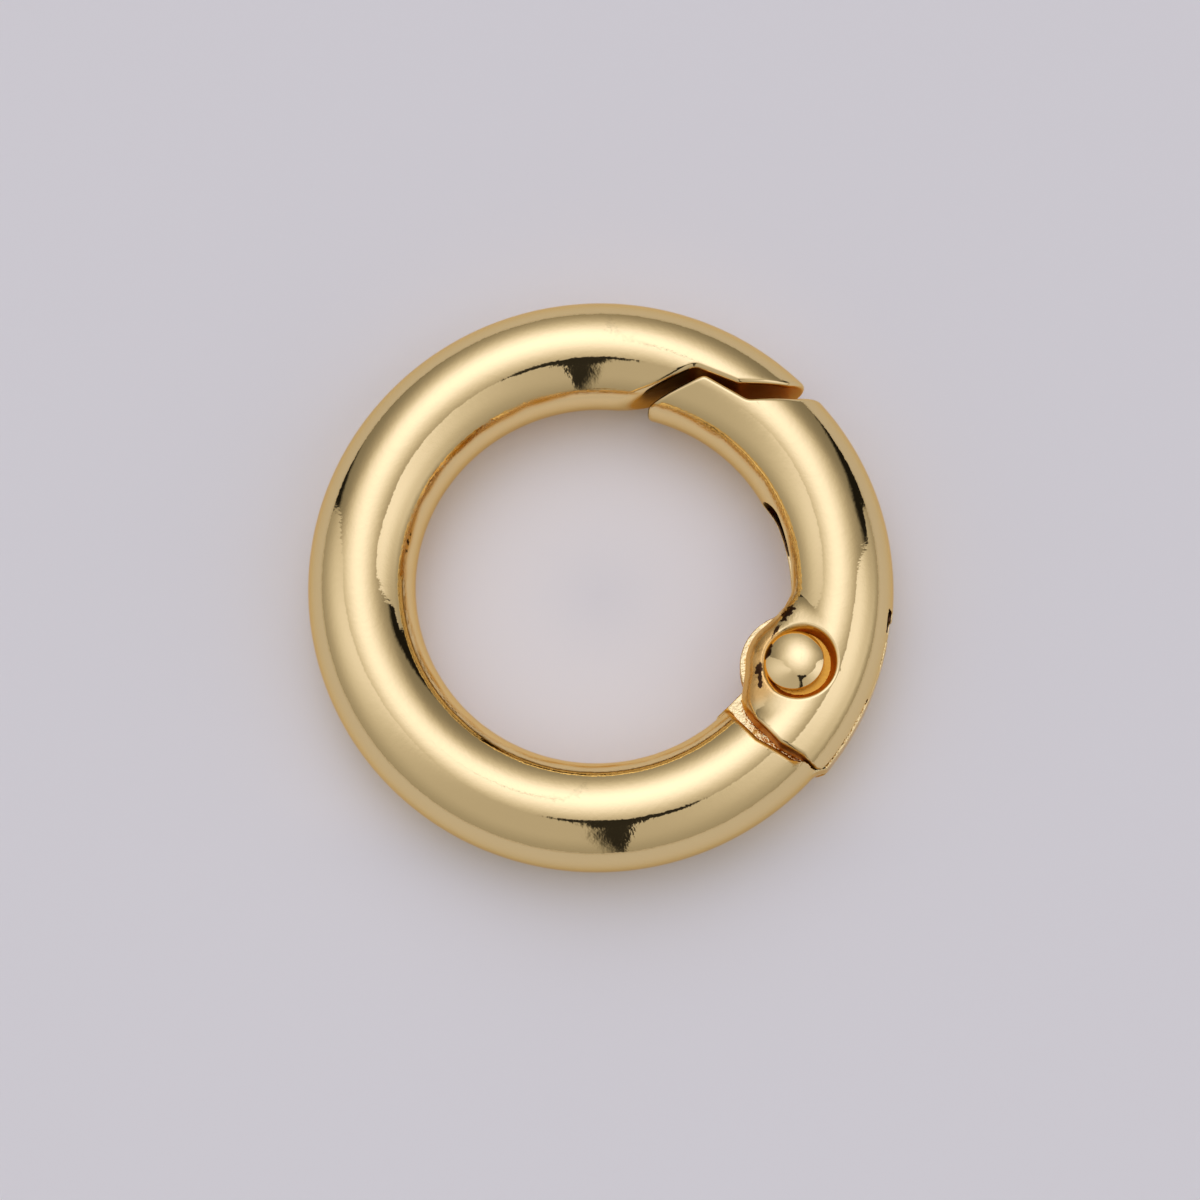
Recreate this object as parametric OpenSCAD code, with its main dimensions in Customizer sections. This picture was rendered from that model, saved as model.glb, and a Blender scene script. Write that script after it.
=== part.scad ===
// Spring gate ring, closed and lying flat.
// +Z is the ring's own axis and the origin is the ring's centre, halfway up its thickness.
// The gate is on the +X side. It turns inwards about a rivet that stands along Z.
// A place on the ring is written as [across, angle]: across runs from -1 at the inner edge of the
// wire to +1 at its outer edge, and angle is measured from +X towards +Y.

/* [Ring] */
// Outside diameter of the closed ring
outer_d = 20; // [18:0.5:25]
// Thickness of the round wire
wire_d = 3.72; // [3.4:0.02:4.1]

/* [Hinge] */
// Place of the rivet across the wire, from -1 inside to +1 outside
pin_across = -0.43; // [-0.5:0.01:-0.35]
// Place of the rivet round the ring
pin_angle = -24.2; // [-26:0.1:-22]
// Diameter of the rivet's shank
shank_d = 1.2; // [0.9:0.05:1.3]
// Diameter of the rivet's heads
head_d = 2.06; // [1.8:0.02:2.2]
// Height of a head's dome above its rim
dome_h = 0.28; // [0.15:0.01:0.35]
// Height of a head's straight rim
head_rim_h = 0.12; // [0.05:0.01:0.2]
// Diameter of the sunk seat round a head
seat_d = 2.52; // [2.48:0.02:2.6]
// How far the seat is bored off the rivet, towards the heel's outer side
seat_shift = 0.2; // [0:0.01:0.2]
// Height above the middle at which a head's seat lies
seat_z = 1.28; // [1.2:0.01:1.34]
// Thickness of the tongue between the cheeks
tongue_t = 0.84; // [0.7:0.02:1]
// Radius of the tongue's rounded knuckle about the rivet
knuckle_r = 1.83; // [1.7:0.01:1.9]
// Radius of each cheek's lug about the rivet
lug_r = 1.64; // [1.5:0.01:1.7]
// Height of a lug above the middle
lug_h = 1.5; // [1.4:0.01:1.6]
// Rounding of a lug's edge
lug_round = 0.5; // [0.3:0.05:0.6]
// Radius of the smaller boss that carries the cheek on to the heel's inner corner
heel_boss_r = 0.92; // [0.8:0.02:0.96]
// Place of that boss across the wire
heel_boss_across = -0.55; // [-0.6:0.01:-0.5]
// Place of that boss round the ring
heel_boss_angle = -34.4; // [-35:0.1:-33]

/* [Gate] */
// How far the gate's own circle is set off from the ring's
gate_swell = 0.26; // [0.1:0.01:0.3]
// Direction in which the gate's circle is set off
swell_angle = -50; // [-60:1:-30]
// End of the open slot in the gate's outer side
slot_end_angle = -8; // [-9:0.5:-6]
// Rounding of the zigzag's corners
zigzag_round = 0.35; // [0.2:0.05:0.4]

/* [Spring chamber] */
// Height of the chamber that opens in the gate's inner side
chamber_h = 1.6; // [1.5:0.05:1.8]
// Depth of the chamber's back wall across the wire
chamber_across = -0.26; // [-0.35:0.01:-0.2]
// Angle at which the chamber's round end is centred
chamber_end_angle = 19; // [14:0.5:20]
// Angle at which the chamber meets the hinge
chamber_start_angle = -14; // [-15:0.5:-12]
// Thickness of the spring's wire
spring_wire_d = 0.18; // [0.16:0.01:0.22]
// Number of turns of the spring
spring_turns = 2; // [1:1:2]
// Length of the spring's long leg
spring_leg = 4.1; // [3:0.1:4.3]

/* [Fits] */
// Radial clearance of the rivet's shank in the tongue
running_gap = 0.05; // [0.03:0.01:0.08]
// Clearance of a seated piece that doesn't turn in its hole
seated_gap = 0.02; // [0.01:0.01:0.03]
// Clearance of the tongue under and over the cheeks
slot_gap = 0.06; // [0.05:0.01:0.08]

/* [Hidden] */

// Smoothness of round surfaces
$fn = 96;
// Straight steps in a rounded corner of an outline
arc_steps = 6;
// Reach of a cutter past the surface that it cuts
past = 2;

wire_r = wire_d / 2;
ring_r = outer_d / 2 - wire_r;
pin = spot(pin_across, pin_angle);
slot_h = tongue_t + 2 * slot_gap;
gate_centre = gate_swell * [cos(swell_angle), sin(swell_angle)];
bore_r = shank_d / 2 + running_gap;
cheek_hole_r = shank_d / 2 + seated_gap;
// Tongue's end, short of the slot's end
tongue_end_angle = slot_end_angle - 4.3;
// Tongue's outer edge, a little inside the gate's outer side
tongue_outer_r = outer_d / 2 - 0.05;

// Centre of the seats in plan
seat_at = pin + seat_shift * [cos(-28), sin(-28)];

// Spring coil: it lies in a pocket in the lower cheek
coil_r = shank_d / 2 + 0.08 + spring_wire_d / 2;
pocket_r = coil_r + spring_wire_d / 2 + 0.08;
pocket_depth = (spring_turns + 1) * spring_wire_d * 1.04 + 0.06;
coil_top_z = -slot_h / 2 - spring_wire_d / 2 - 0.01;
coil_pitch = spring_wire_d * 1.04;
// Direction of the spring's leg in plan
leg_angle = 92;
// Groove for the leg: its width, its floor's depth below the middle and its length from the rivet
leg_groove_w = spring_wire_d + 0.1;
leg_groove_z = slot_h / 2 + spring_wire_d + 0.08;
leg_groove_l = 2;
// Radius of the chamber's round end: a little under half its height, so the two shapes cross
chamber_end_r = 0.485 * chamber_h;

// Zigzag of the body's nose, from the inner edge of the wire to the outer
NOSE = [
    // across, angle, rounded
    [-1.27, 92.0, 0],
    [-0.08, 64.7, 1],
    [0.05, 53.7, 1],
    [0.66, 45.1, 0],
    [1.60, 40.6, 0]
];
// Zigzag of the gate's free end, from the inner edge of the wire to the outer
TIP = [
    // across, angle, rounded
    [-1.36, 71.0, 0],
    [-0.98, 74.7, 1],
    [-0.12, 61.9, 1],
    [-0.06, 49.4, 1],
    [0.61, 41.9, 0],
    [1.63, 37.2, 0]
];
// Face of the body's shoulder at the hinge, from outside the wire to inside
SHOULDER = [
    // across, angle, rounded
    [1.47, -37.8, 0],
    [0.95, -42.6, 0],
    [0.78, -43.7, 0],
    [-0.12, -46.5, 1],
    [-0.73, -46.2, 0],
    [-1.09, -44.7, 0],
    [-1.45, -42.8, 0]
];
// Face of the gate's heel beside the shoulder, from outside the wire to inside
HEEL = [
    // across, angle, rounded
    [1.49, -37.2, 0],
    [0.98, -41.7, 0],
    [0.70, -42.1, 0],
    [0.23, -43.7, 0],
    [-0.42, -43.2, 1],
    [-0.86, -39.9, 0],
    [-1.22, -34.2, 0]
];

// Place in plan of [across, angle]
function spot(across, angle) = (ring_r + across * wire_r) * [cos(angle), sin(angle)];

// Vector of length 1 along v
function unit(v) = v / norm(v);

// Angle brought between -180 and 180
function wrap(angle) = angle - 360 * round(angle / 360);

// Points of the arc that rounds corner b between a and c
function corner_arc(a, b, c, radius) =
    let (
        u = unit(a - b),
        v = unit(c - b),
        half = acos(u * v) / 2,
        centre = b + unit(u + v) * radius / sin(half),
        start = b + u * radius / tan(half) - centre,
        end = b + v * radius / tan(half) - centre,
        first = atan2(start.y, start.x),
        turn = wrap(atan2(end.y, end.x) - first)
    )
    [for (i = [0 : arc_steps]) let (a = first + turn * i / arc_steps) centre + radius * [cos(a), sin(a)]];

// Points of a table of places, with its marked corners rounded
function outline(table) =
    let (points = [for (row = table) spot(row[0], row[1])])
    [
        for (i = [0 : len(table) - 1])
            each table[i][2] == 0
                ? [points[i]]
                : corner_arc(points[i - 1], points[i], points[i + 1], zigzag_round)
    ];

// Round wire bent to a full circle about centre
module full_ring(centre) {
    translate([centre.x, centre.y, 0]) rotate_extrude() translate([ring_r, 0]) circle(wire_r);
}

// Upright prism of an outline, of height h about the middle
module slab(h) {
    linear_extrude(h, center = true) children();
}

// Plan of the gap in the body, from the nose round to the shoulder
module mouth_plan() {
    polygon(concat(
        outline(NOSE),
        [[outer_d, outer_d / 2], [outer_d, -outer_d]],
        outline(SHOULDER)
    ));
}

// Plan of the gate, from its zigzag round to its heel
module gate_plan() {
    polygon(concat(
        outline(TIP),
        [[outer_d, outer_d / 3], [outer_d, -outer_d]],
        outline(HEEL)
    ));
}

// Plan of the tongue: a band from the shoulder to its end, and the knuckle
module tongue_plan() {
    translate(pin) circle(knuckle_r);
    intersection() {
        translate(gate_centre) circle(tongue_outer_r, $fn = 200);
        polygon([
            spot(-1, SHOULDER[4][1] - 3),
            spot(-0.99, pin_angle - 14),
            pin + knuckle_r * 0.94 * [cos(pin_angle + 112), sin(pin_angle + 112)],
            spot(0.35, tongue_end_angle),
            spot(1.4, tongue_end_angle),
            spot(1.6, (pin_angle + SHOULDER[2][1]) / 2),
            spot(0.98, SHOULDER[3][1])
        ]);
    }
}

// C-shaped ring with its tongue and hinge hole
module ring_body() {
    color("gold")
    difference() {
        union() {
            difference() {
                full_ring([0, 0]);
                slab(wire_d + past) mouth_plan();
            }
            slab(tongue_t) tongue_plan();
        }
        translate([pin.x, pin.y, 0]) cylinder(h = wire_d, r = bore_r, center = true);
    }
}

// Round boss with rounded edges that thickens both cheeks
module boss(at, radius) {
    translate([at.x, at.y, 0]) rotate_extrude() {
        translate([0, -lug_h]) square([radius - lug_round, 2 * lug_h]);
        translate([0, lug_round - lug_h]) square([radius, 2 * (lug_h - lug_round)]);
        for (side = [-1, 1])
            translate([radius - lug_round, side * (lug_h - lug_round)]) circle(lug_round, $fn = 48);
    }
}

// Space between the cheeks, for the tongue
module tongue_slot() {
    slab(slot_h)
    polygon([
        spot(-1.8, slot_end_angle),
        spot(1.4, slot_end_angle),
        [outer_d, -outer_d / 4],
        [outer_d, -outer_d],
        [0, -outer_d],
        spot(-1.8, SHOULDER[3][1])
    ]);
}

// Space in the gate's inner side, with a round end, for the spring's leg
module chamber() {
    back_r = ring_r + chamber_across * wire_r;
    slab(chamber_h)
    intersection() {
        circle(back_r, $fn = 160);
        polygon([
            spot(-3, chamber_start_angle),
            spot(1, chamber_start_angle),
            spot(1, chamber_end_angle + 2),
            spot(-3, chamber_end_angle + 2)
        ]);
    }
    rotate([0, 90, chamber_end_angle]) rotate(30) cylinder(h = back_r, r = chamber_end_r);
}

// Pocket in the lower cheek that holds the spring's coil
module coil_pocket() {
    pocket_z = slot_h / 2 + pocket_depth;
    translate([pin.x, pin.y, -pocket_z]) cylinder(h = pocket_z, r = pocket_r);
}

// Groove in the lower cheek that leads the spring's leg from the pocket to the chamber
module leg_groove() {
    translate([pin.x, pin.y, 0])
        rotate(leg_angle - 90)
        translate([coil_r - leg_groove_w / 2, 0, -leg_groove_z])
        cube([leg_groove_w, leg_groove_l, leg_groove_z]);
}

// Hinged gate: zigzag tip, forked hinge end, spring chamber and rivet seats
module gate() {
    color("goldenrod")
    difference() {
        union() {
            intersection() {
                full_ring(gate_centre);
                slab(wire_d + past) gate_plan();
            }
            boss(pin, lug_r);
            boss(spot(heel_boss_across, heel_boss_angle), heel_boss_r);
        }
        tongue_slot();
        chamber();
        coil_pocket();
        leg_groove();
        translate([pin.x, pin.y, 0]) cylinder(h = 2 * wire_d, r = cheek_hole_r, center = true);
        for (side = [0, 1])
            mirror([0, 0, side])
                translate([seat_at.x, seat_at.y, seat_z])
                cylinder(h = wire_d, r = seat_d / 2);
    }
}

// Domed rivet head, standing on its seat
module rivet_head() {
    head_r = head_d / 2;
    dome_r = (head_r * head_r + dome_h * dome_h) / (2 * dome_h);
    cylinder(h = head_rim_h, r = head_r);
    intersection() {
        cylinder(h = head_rim_h + dome_h, r = head_r);
        translate([0, 0, head_rim_h + dome_h - dome_r]) sphere(dome_r);
    }
}

// Rivet with a head on each side
module hinge_rivet() {
    head_z = seat_z + seated_gap;
    color("khaki")
    translate([pin.x, pin.y, 0]) {
        cylinder(h = 2 * head_z, r = shank_d / 2, center = true);
        for (side = [0, 1])
            mirror([0, 0, side]) translate([0, 0, head_z]) rivet_head();
    }
}

// Points round the spring's wire at one station of its path
function wire_ring(p, along, up, sides) =
    let (side = unit(cross(along, up)), top = cross(side, unit(along)), r = spring_wire_d / 2)
    [for (k = [0 : sides - 1]) let (a = 360 * k / sides) p + r * (side * cos(a) + top * sin(a))];

// Faces that join rings of points to a closed tube
function tube_faces(rings, sides) = concat(
    [[for (k = [0 : sides - 1]) k]],
    [
        for (i = [0 : rings - 2], k = [0 : sides - 1])
            let (a = i * sides + k, b = i * sides + (k + 1) % sides)
            [a, a + sides, b + sides, b]
    ],
    [[for (k = [sides - 1 : -1 : 0]) (rings - 1) * sides + k]]
);

// Torsion spring: a coil on the rivet and a long leg that lies along the chamber
module gate_spring() {
    sides = 8;
    steps = 20;
    coil_end = leg_angle - 90;
    coil = [
        for (i = [0 : steps * spring_turns])
            let (a = coil_end - 360 * (spring_turns - i / steps))
            [
                pin.x + coil_r * cos(a),
                pin.y + coil_r * sin(a),
                coil_top_z - coil_pitch * (spring_turns - i / steps)
            ]
    ];
    root = coil[len(coil) - 1];
    leg = [for (i = [1 : 4]) root + spring_leg * i / 4 * [cos(leg_angle), sin(leg_angle), 0]];
    path = concat(coil, leg);
    last = len(path) - 1;
    points = [
        for (i = [0 : last])
            each wire_ring(path[i], path[min(i + 1, last)] - path[max(i - 1, 0)], [0, 0, 1], sides)
    ];
    color("silver") polyhedron(points, tube_faces(len(path), sides));
}

ring_body();
gate();
hinge_rivet();
gate_spring();
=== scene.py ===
import logging
import math
from contextlib import contextmanager
from dataclasses import dataclass
from enum import Enum
from functools import cached_property
from typing import Callable, Iterator

import bpy
import numpy as np
from mathutils import Matrix, Vector


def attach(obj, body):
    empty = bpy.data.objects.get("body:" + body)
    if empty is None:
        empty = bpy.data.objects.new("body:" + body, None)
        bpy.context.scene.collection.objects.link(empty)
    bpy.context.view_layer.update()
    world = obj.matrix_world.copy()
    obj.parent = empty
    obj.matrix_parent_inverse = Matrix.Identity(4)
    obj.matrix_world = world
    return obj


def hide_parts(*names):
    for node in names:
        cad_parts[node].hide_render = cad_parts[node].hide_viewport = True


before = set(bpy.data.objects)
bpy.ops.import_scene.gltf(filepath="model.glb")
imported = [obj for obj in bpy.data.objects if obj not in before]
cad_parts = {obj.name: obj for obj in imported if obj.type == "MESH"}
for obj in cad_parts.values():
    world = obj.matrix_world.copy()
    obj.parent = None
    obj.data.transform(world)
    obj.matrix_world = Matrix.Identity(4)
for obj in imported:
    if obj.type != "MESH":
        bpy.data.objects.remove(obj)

log = logging.getLogger("spring_gate_ring")

# Pieces are modelled in millimetres and brought to metres when they are finished
MM = 0.001
# Height above and below the middle that clears the wire, for cutters
CLEAR = 3.0
# Rough bosses stay this far within the skin that their faces are eased onto
SLACK = 0.05
# Width over which a mask fades at the rim of a cut
RIM_FADE = 0.04

Array = np.ndarray
Object = bpy.types.Object
Tree = bpy.types.NodeTree
Skin = Callable[[Array], Array]
Pair = tuple[float, float]
Triple = tuple[float, float, float]
Place = Array | Pair
Rows = tuple[tuple[float, ...], ...]


class Mask(str, Enum):
    """Masks that the pieces carry on their vertices for their finishes."""

    # Rougher faces, painted amber there as shade and as gold light thrown between the pieces
    RECESS = "recess"
    GRIT = "grit"
    # Painted dark reflections, and painted shade deep in holes
    FLAW = "painted_dark"


# Sizes that the pieces share


def heading(degrees: float) -> Array:
    """Unit direction in the plan, in degrees from +X towards +Y."""
    return np.array([math.cos(math.radians(degrees)), math.sin(math.radians(degrees))])


@dataclass(frozen=True)
class WireSizes:
    """Sizes of the round wire and of the hinge, in millimetres."""

    ring_r: float = 8.14
    wire_r: float = 1.86
    pin_across: float = -0.43
    pin_angle: float = -24.2
    shank_r: float = 0.6
    seat_r: float = 1.26
    seat_z: float = 1.28
    seat_shift: float = 0.2
    seat_turn: float = -28.0
    tongue_half: float = 0.42
    slot_half: float = 0.48
    slot_end_angle: float = -8.0
    gate_swell: float = 0.26
    swell_angle: float = -50.0

    def spot(self, across: float, angle: float) -> Array:
        """Gives the plan place of [across, angle].

        Args:
            across: Place across the wire, -1 at its inner edge and +1 at its outer edge.
            angle: Place round the ring in degrees from +X towards +Y.

        Returns:
            The x and y of the place.
        """
        return (self.ring_r + across * self.wire_r) * heading(angle)

    @property
    def pin(self) -> Array:
        """Plan place of the rivet's axis."""
        return self.spot(self.pin_across, self.pin_angle)

    @property
    def seat_at(self) -> Array:
        """Plan place of the rivet seats' axis, bored a little off the rivet."""
        return self.pin + self.seat_shift * heading(self.seat_turn)

    @property
    def gate_centre(self) -> Array:
        """Centre of the gate's own circle, set off from the ring's."""
        return self.gate_swell * heading(self.swell_angle)


SIZES = WireSizes()


# Outlines and skins


@dataclass(frozen=True)
class PlanOutline:
    """Closed plan outline with rounded corners.

    Each corner is (x, y, rounding radius), in order round the outline.
    """

    corners: Rows
    arc_steps: int = 8

    def points(self) -> Array:
        """Gives the outline's points with its corners rounded.

        Returns:
            An array of x, y rows.
        """
        places = [np.array(c[:2]) for c in self.corners]
        out: list[Array] = []
        count = len(places)
        for i, (_, _, radius) in enumerate(self.corners):
            here = places[i]
            if radius == 0:
                out.append(here)
                continue
            u = places[i - 1] - here
            v = places[(i + 1) % count] - here
            u, v = u / np.linalg.norm(u), v / np.linalg.norm(v)
            half = math.acos(float(np.clip(u @ v, -1, 1))) / 2
            centre = here + (u + v) / np.linalg.norm(u + v) * radius / math.sin(half)
            start = here + u * radius / math.tan(half) - centre
            end = here + v * radius / math.tan(half) - centre
            first = math.atan2(start[1], start[0])
            turn = math.atan2(end[1], end[0]) - first
            turn -= 2 * math.pi * round(turn / (2 * math.pi))
            for k in range(self.arc_steps + 1):
                a = first + turn * k / self.arc_steps
                out.append(centre + radius * np.array([math.cos(a), math.sin(a)]))
        return np.array(out)

    def gap(self, p: Array) -> Array:
        """Measures how far places lie outside the outline.

        Args:
            p: Rows that start with x and y.

        Returns:
            Distance to the outline, negative inside it.
        """
        points = self.points()
        nearest = np.full(len(p), np.inf)
        inside = np.zeros(len(p), bool)
        for a, b in zip(points, np.roll(points, -1, axis=0)):
            edge = b - a
            rel_x, rel_y = p[:, 0] - a[0], p[:, 1] - a[1]
            along = np.clip((rel_x * edge[0] + rel_y * edge[1]) / (edge @ edge), 0, 1)
            nearest = np.minimum(nearest, (rel_x - along * edge[0]) ** 2 + (rel_y - along * edge[1]) ** 2)
            straddles = (a[1] > p[:, 1]) != (b[1] > p[:, 1])
            with np.errstate(divide="ignore", invalid="ignore"):
                crossing = a[0] + (p[:, 1] - a[1]) * edge[0] / edge[1]
            inside ^= straddles & (p[:, 0] < crossing)
        return np.where(inside, -1.0, 1.0) * np.sqrt(nearest)


def torus_gap(p: Array, centre: Place = (0.0, 0.0)) -> Array:
    """Distance of places outside the round wire bent to a circle about centre."""
    r = np.hypot(p[:, 0] - centre[0], p[:, 1] - centre[1])
    return np.hypot(r - SIZES.ring_r, p[:, 2]) - SIZES.wire_r


def drum_gap(p: Array, centre: Place, radius: float) -> Array:
    """Distance of places outside an endless upright drum about centre."""
    return np.hypot(p[:, 0] - centre[0], p[:, 1] - centre[1]) - radius


def slab_gap(p: Array, half: float) -> Array:
    """Distance of places outside a level slab about the middle."""
    return np.abs(p[:, 2]) - half


def rounded_drum_gap(p: Array, centre: Array, radius: float, half: float, edge: float) -> Array:
    """Distance of places outside an upright drum with rounded edges."""
    side = drum_gap(p, centre, radius - edge)
    level = slab_gap(p, half - edge)
    return np.hypot(np.maximum(side, 0), np.maximum(level, 0)) + np.minimum(np.maximum(side, level), 0) - edge


def both(a: Array, b: Array, edge: float | Array) -> Array:
    """Joins two distances to that of the shapes' common part.

    Args:
        a: Distances to one shape.
        b: Distances to the other shape.
        edge: Radius of the rounded edge where they cross, one for all places or one for each.

    Returns:
        Distances to what lies inside both.
    """
    over = np.hypot(np.maximum(a + edge, 0), np.maximum(b + edge, 0))
    return np.minimum(np.maximum(a, b), -edge) + over


def either(a: Array, b: Array, fillet: float) -> Array:
    """Joins two distances to that of both shapes together, with a fillet between them."""
    near = np.hypot(np.maximum(fillet - a, 0), np.maximum(fillet - b, 0))
    return np.maximum(np.minimum(a, b), fillet) - near


def melted(a: Array, b: Array, width: float | Array) -> Array:
    """Joins two distances to that of both shapes melted together over a width."""
    h = np.maximum(width - np.abs(a - b), 0) / width
    return np.minimum(a, b) - h * h * width / 4


def slope_of(skin: Skin, p: Array, step: float = 0.002) -> Array:
    """Gives the direction in which the distance to a skin grows fastest.

    Args:
        skin: Distance function of the piece.
        p: Places to look at.
        step: Length of the difference taken, in millimetres.

    Returns:
        One row of slopes for each place.
    """
    out = np.empty_like(p)
    for axis in range(3):
        shift = np.zeros(3)
        shift[axis] = step
        out[:, axis] = (skin(p + shift) - skin(p - shift)) / (2 * step)
    return out


def turned(p: Array, at: Place, degrees: float) -> tuple[Array, Array]:
    """Gives places in the plan as lengths along a heading and to the left of it, from a point."""
    ahead = heading(degrees)
    x, y = p[:, 0] - at[0], p[:, 1] - at[1]
    return x * ahead[0] + y * ahead[1], y * ahead[0] - x * ahead[1]


def ramp(values: Array, start: float, run: float) -> Array:
    """Rises from 0 at start to 1 over a run, or falls to 0 at start where the run is negative."""
    return np.clip((values - start) / run, 0, 1)


def bell(values: Array, middle: float, width: float | Array) -> Array:
    """Rounded hill of height 1 about a middle."""
    return np.exp(-((values - middle) / width) ** 2)


@dataclass(frozen=True)
class Oval:
    """Soft oval place, seen from above: its middle, its half length and width, and its heading."""

    x: float
    y: float
    half_length: float
    half_width: float
    degrees: float = 0.0

    def share(self, p: Array) -> Array:
        """Share of the place, 1 at its middle."""
        along, aside = turned(p, (self.x, self.y), self.degrees)
        return bell(along, 0, self.half_length) * bell(aside, 0, self.half_width)


# Work on Blender objects


def deselect() -> None:
    """Leaves object mode and clears the selection, for operators act on all that is selected."""
    if bpy.context.object and bpy.context.object.mode != "OBJECT":
        bpy.ops.object.mode_set(mode="OBJECT")
    bpy.ops.object.select_all(action="DESELECT")


def pick(piece: Object) -> None:
    """Selects one object alone and makes it active."""
    deselect()
    piece.select_set(True)
    bpy.context.view_layer.objects.active = piece


@contextmanager
def editing() -> Iterator[None]:
    """Keeps the active object in edit mode, with all of its mesh selected at first."""
    bpy.ops.object.mode_set(mode="EDIT")
    bpy.ops.mesh.select_all(action="SELECT")
    yield
    bpy.ops.object.mode_set(mode="OBJECT")


def flat_circle(count: int, radius: float = 1, fill: str = "NGON") -> Object:
    """Adds a circle about the origin as the start of a piece."""
    deselect()
    bpy.ops.mesh.primitive_circle_add(vertices=count, radius=radius, fill_type=fill, location=(0, 0, 0))
    return bpy.context.object


def prism(name: str, outline: Array, low: float, high: float) -> Object:
    """Models an upright prism: a filled circle set on the outline and extruded.

    Args:
        name: Name of the object.
        outline: Plan points in order.
        low: Height of its underside.
        high: Height of its top.

    Returns:
        The prism, closed and with its faces outwards.
    """
    piece = flat_circle(len(outline))
    piece.name = name
    for vertex, (x, y) in zip(piece.data.vertices, outline):
        vertex.co = (x, y, low)
    with editing():
        bpy.ops.mesh.extrude_region_move(TRANSFORM_OT_translate={"value": (0, 0, high - low)})
        bpy.ops.mesh.select_all(action="SELECT")
        bpy.ops.mesh.normals_make_consistent(inside=False)
    return piece


def drum(name: str, place: Triple, radius: float, height: float, turn: Triple = (0, 0, 0)) -> Object:
    """Adds a plain cylinder, used as a cutter or as the start of a boss."""
    deselect()
    bpy.ops.mesh.primitive_cylinder_add(vertices=64, radius=radius, depth=height, location=place, rotation=turn)
    piece = bpy.context.object
    piece.name = name
    bpy.ops.object.transform_apply(location=True, rotation=True, scale=True)
    return piece


def bent_wire(name: str, centre: Place = (0.0, 0.0)) -> Object:
    """Adds the round wire bent to a full circle."""
    deselect()
    bpy.ops.mesh.primitive_torus_add(
        location=(centre[0], centre[1], 0), major_segments=220, minor_segments=48,
        major_radius=SIZES.ring_r, minor_radius=SIZES.wire_r)
    piece = bpy.context.object
    piece.name = name
    bpy.ops.object.transform_apply(location=True, rotation=True, scale=True)
    return piece


def join_solid(piece: Object, tool: Object, operation: str = "DIFFERENCE") -> None:
    """Cuts, adds or crosses a piece with a tool solid, and removes the tool.

    Args:
        piece: The object that is changed.
        tool: The solid that it is joined with.
        operation: DIFFERENCE, UNION or INTERSECT.
    """
    pick(piece)
    modifier = piece.modifiers.new("join", "BOOLEAN")
    modifier.operation = operation
    modifier.object = tool
    modifier.solver = "EXACT"
    bpy.ops.object.modifier_apply(modifier=modifier.name)
    bpy.data.objects.remove(tool)


def even_mesh(piece: Object, voxel: float) -> None:
    """Remeshes a solid to even small faces, so that its edges can be eased."""
    pick(piece)
    modifier = piece.modifiers.new("even", "REMESH")
    modifier.mode = "VOXEL"
    modifier.voxel_size = voxel
    modifier.adaptivity = 0
    bpy.ops.object.modifier_apply(modifier=modifier.name)
    with editing():
        bpy.ops.mesh.vertices_smooth(factor=0.5, repeat=3)


def places_of(piece: Object) -> Array:
    """Reads the vertices of a piece as rows of x, y and z."""
    flat = np.empty(len(piece.data.vertices) * 3, np.float32)
    piece.data.vertices.foreach_get("co", flat)
    return flat.reshape(-1, 3).astype(float)


def ease_onto(piece: Object, skin: Skin, rounds: int = 5) -> Array:
    """Moves each vertex to the finished skin, with its rounded edges and blends.

    Args:
        piece: The evenly meshed solid.
        skin: Distance function of the finished surface.
        rounds: Number of corrections.

    Returns:
        The outward direction of the skin at each vertex.
    """
    p = places_of(piece)
    for _ in range(rounds):
        slope = slope_of(skin, p)
        steep = np.maximum((slope ** 2).sum(1), 0.25)
        move = np.clip(skin(p) / steep, -0.08, 0.08)
        p -= move[:, None] * slope
    piece.data.vertices.foreach_set("co", p.astype(np.float32).ravel())
    piece.data.update()
    slope = slope_of(skin, p, 0.004)
    return slope / np.maximum(np.linalg.norm(slope, axis=1, keepdims=True), 1e-6)


def refine_edges(piece: Object, skin: Skin, turn: float, rounds: int) -> Array:
    """Makes the mesh finer only where the skin turns, until its edges are crisp.

    Args:
        piece: The evenly meshed solid.
        skin: Distance function of the finished surface.
        turn: Angle in degrees between neighbouring vertices above which a face is divided.
        rounds: Number of divisions.

    Returns:
        The outward direction of the skin at each vertex.
    """
    mesh = piece.data
    normals = ease_onto(piece, skin)
    for _ in range(rounds):
        corner = np.empty(len(mesh.loops), np.int32)
        mesh.loops.foreach_get("vertex_index", corner)
        start = np.empty(len(mesh.polygons), np.int32)
        total = np.empty(len(mesh.polygons), np.int32)
        mesh.polygons.foreach_get("loop_start", start)
        mesh.polygons.foreach_get("loop_total", total)
        after = np.arange(len(corner)) + 1
        after[start + total - 1] = start
        turned = (normals[corner] * normals[corner[after]]).sum(1) < math.cos(math.radians(turn))
        chosen = np.logical_or.reduceat(turned, start)
        pick(piece)
        bpy.ops.object.mode_set(mode="EDIT")
        bpy.ops.mesh.select_mode(type="FACE")
        bpy.ops.mesh.select_all(action="DESELECT")
        bpy.ops.object.mode_set(mode="OBJECT")
        mesh.polygons.foreach_set("select", chosen)
        bpy.ops.object.mode_set(mode="EDIT")
        bpy.ops.mesh.subdivide(number_cuts=1, smoothness=0)
        bpy.ops.object.mode_set(mode="OBJECT")
        normals = ease_onto(piece, skin, 4)
    return normals


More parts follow.
